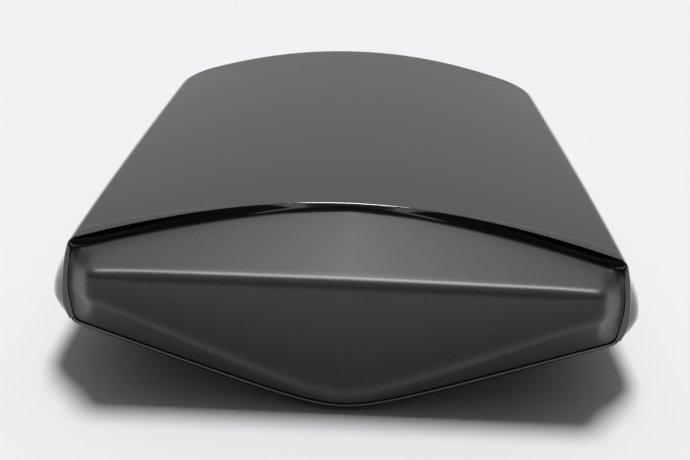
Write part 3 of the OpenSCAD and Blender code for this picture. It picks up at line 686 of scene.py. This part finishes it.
raised = grain.nodes.new("ShaderNodeBump")
grain.links.new(place.outputs["Object"], cells.inputs["Vector"])
grain.links.new(place.outputs["Object"], speck.inputs["Vector"])
grain.links.new(given.outputs["Scale"], cells.inputs["Scale"])
grain.links.new(given.outputs["Scale"], speck.inputs["Scale"])
grain.links.new(speck.outputs[0], added.inputs[0])
grain.links.new(cells.outputs["Distance"], added.inputs[2])
grain.links.new(added.outputs[0], raised.inputs["Height"])
grain.links.new(given.outputs["Strength"], raised.inputs["Strength"])
grain.links.new(given.outputs["Distance"], raised.inputs["Distance"])
grain.links.new(raised.outputs[0], result.inputs["Normal"])
grain.links.new(added.outputs[0], result.inputs["Pits"])


def moulded(name, dark, light, roughness, scale, strength, distance, shine=0.3):
    """Grained plastic or rubber: two near colours mixed by the grain's pits, and its bump."""
    material = bpy.data.materials.new(name)
    material.use_nodes = True
    tree = material.node_tree
    shader = tree.nodes["Principled BSDF"]
    shader.inputs["Roughness"].default_value = roughness
    shader.inputs["Specular IOR Level"].default_value = shine
    group = tree.nodes.new("ShaderNodeGroup")
    group.node_tree = grain
    group.inputs["Scale"].default_value = scale
    group.inputs["Strength"].default_value = strength
    group.inputs["Distance"].default_value = distance
    shade = tree.nodes.new("ShaderNodeMapRange")
    shade.inputs["From Min"].default_value = 0.2
    shade.inputs["From Max"].default_value = 0.9
    colour = tree.nodes.new("ShaderNodeMix")
    colour.data_type = "RGBA"
    colour.inputs["A"].default_value = dark
    colour.inputs["B"].default_value = light
    tree.links.new(group.outputs["Pits"], shade.inputs["Value"])
    tree.links.new(shade.outputs[0], colour.inputs["Factor"])
    tree.links.new(colour.outputs["Result"], shader.inputs["Base Color"])
    tree.links.new(group.outputs["Normal"], shader.inputs["Normal"])
    return material


pad.data.materials.append(moulded("pad_plastic", dark=(0.036, 0.035, 0.034, 1),
                                  light=(0.064, 0.062, 0.06, 1), roughness=0.35, scale=1900.0,
                                  strength=0.5, distance=0.00005, shine=0.38))
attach(pad, "root")
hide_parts("pad_panel")

# Under tray.
# A moulded floor with an upstanding rim, crossed by ribs, that closes the cover below. Its
# pedestals carry the feet and its prongs slide under the tail. The CAD solid shows as it is.


def dress(names, material):
    """Gives the CAD nodes' objects this material."""
    for name in names:
        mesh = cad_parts[name].data
        mesh.materials.clear()
        mesh.materials.append(material)


dress(["under_tray"],
      moulded("tray_plastic", dark=(0.018, 0.018, 0.0185, 1), light=(0.034, 0.034, 0.035, 1),
              roughness=0.55, scale=700.0, strength=0.3, distance=0.0004))

# Feet.
# Four soft black rubber buffers. Each is moulded with a stem that is pressed into one of the
# tray's pedestals. The CAD solids show as they are.
dress(["foot_front_left", "foot_front_right", "foot_rear_left", "foot_rear_right"],
      moulded("foot_rubber", dark=(0.012, 0.012, 0.012, 1), light=(0.03, 0.03, 0.03, 1),
              roughness=0.75, scale=380.0, strength=0.25, distance=0.0005))

# Fasteners and striker.
# Zinc plated steel: bright screws, washers, nuts, plate and rod with a faint mottle in the
# plating. The six inserts are brass, machined and slightly tarnished.


def plated(name, dark, light, rough_low, rough_high):
    """Metal whose colour and roughness follow one mottled noise, with fine machining bump."""
    material = bpy.data.materials.new(name)
    material.use_nodes = True
    tree = material.node_tree
    shader = tree.nodes["Principled BSDF"]
    shader.inputs["Metallic"].default_value = 1.0
    where = tree.nodes.new("ShaderNodeTexCoord")
    mottle = tree.nodes.new("ShaderNodeTexNoise")
    mottle.inputs["Scale"].default_value = 220.0
    mottle.inputs["Detail"].default_value = 5.0
    fine = tree.nodes.new("ShaderNodeTexNoise")
    fine.inputs["Scale"].default_value = 2600.0
    colour = tree.nodes.new("ShaderNodeMix")
    colour.data_type = "RGBA"
    colour.inputs["A"].default_value = dark
    colour.inputs["B"].default_value = light
    rough = tree.nodes.new("ShaderNodeMapRange")
    rough.inputs["To Min"].default_value = rough_high
    rough.inputs["To Max"].default_value = rough_low
    bump = tree.nodes.new("ShaderNodeBump")
    bump.inputs["Strength"].default_value = 0.3
    bump.inputs["Distance"].default_value = 0.00003
    tree.links.new(where.outputs["Object"], mottle.inputs["Vector"])
    tree.links.new(where.outputs["Object"], fine.inputs["Vector"])
    tree.links.new(mottle.outputs[0], colour.inputs["Factor"])
    tree.links.new(mottle.outputs[0], rough.inputs["Value"])
    tree.links.new(fine.outputs[0], bump.inputs["Height"])
    tree.links.new(colour.outputs["Result"], shader.inputs["Base Color"])
    tree.links.new(rough.outputs[0], shader.inputs["Roughness"])
    tree.links.new(bump.outputs[0], shader.inputs["Normal"])
    return material


dress(["pad_screws", "pad_washers", "tray_screws", "tray_washers", "striker_plate", "striker_rod",
       "striker_screws", "striker_nuts"],
      plated("zinc_plate", dark=(0.42, 0.43, 0.44, 1), light=(0.66, 0.67, 0.68, 1), rough_low=0.22,
             rough_high=0.42))
dress(["tray_inserts"],
      plated("brass_insert", dark=(0.45, 0.3, 0.1, 1), light=(0.7, 0.5, 0.2, 1), rough_low=0.25,
             rough_high=0.45))
